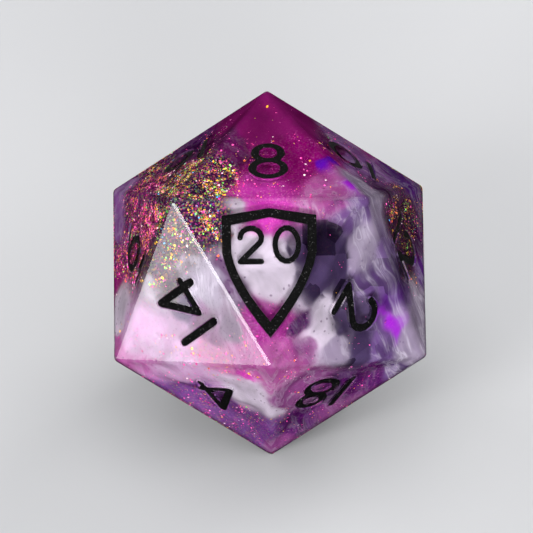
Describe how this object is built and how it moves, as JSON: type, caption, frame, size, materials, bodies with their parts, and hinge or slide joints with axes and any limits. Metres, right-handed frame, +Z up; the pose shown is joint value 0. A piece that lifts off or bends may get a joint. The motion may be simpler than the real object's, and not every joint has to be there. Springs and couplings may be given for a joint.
{
  "type": "polyhedral die",
  "caption": "Icosahedral gaming die of clear marbled resin with crisp edges, painted engraved numerals and a shield on its highest face.",
  "frame": {"origin": "centre of the face that the die rests on (13), which is the middle of the base of its bounding box", "axes": "+Z up through the level top face (8); -Y is the front, where the highest face (20) leans towards the viewer; +X to the viewer's right"},
  "size_m": [0.0214, 0.0246, 0.02],
  "materials": {
    "resin": "polished clear resin, marbled inside",
    "paint": "matte black enamel"
  },
  "bodies": {
    "root": {"resin_casting": "resin", "paint_01": "paint", "paint_02": "paint", "paint_03": "paint", "paint_04": "paint", "paint_05": "paint", "paint_06": "paint", "paint_06_underline": "paint", "paint_07": "paint", "paint_08": "paint", "paint_09": "paint", "paint_09_underline": "paint", "paint_10_tens": "paint", "paint_10_units": "paint", "paint_11_tens": "paint", "paint_11_units": "paint", "paint_12_tens": "paint", "paint_12_units": "paint", "paint_13_tens": "paint", "paint_13_units": "paint", "paint_14_tens": "paint", "paint_14_units": "paint", "paint_15_tens": "paint", "paint_15_units": "paint", "paint_16_tens": "paint", "paint_16_units": "paint", "paint_17_tens": "paint", "paint_17_units": "paint", "paint_18_tens": "paint", "paint_18_units": "paint", "paint_19_tens": "paint", "paint_19_units": "paint", "paint_20_shield": "paint", "paint_20_tens": "paint", "paint_20_units": "paint"}
  },
  "joints": []
}
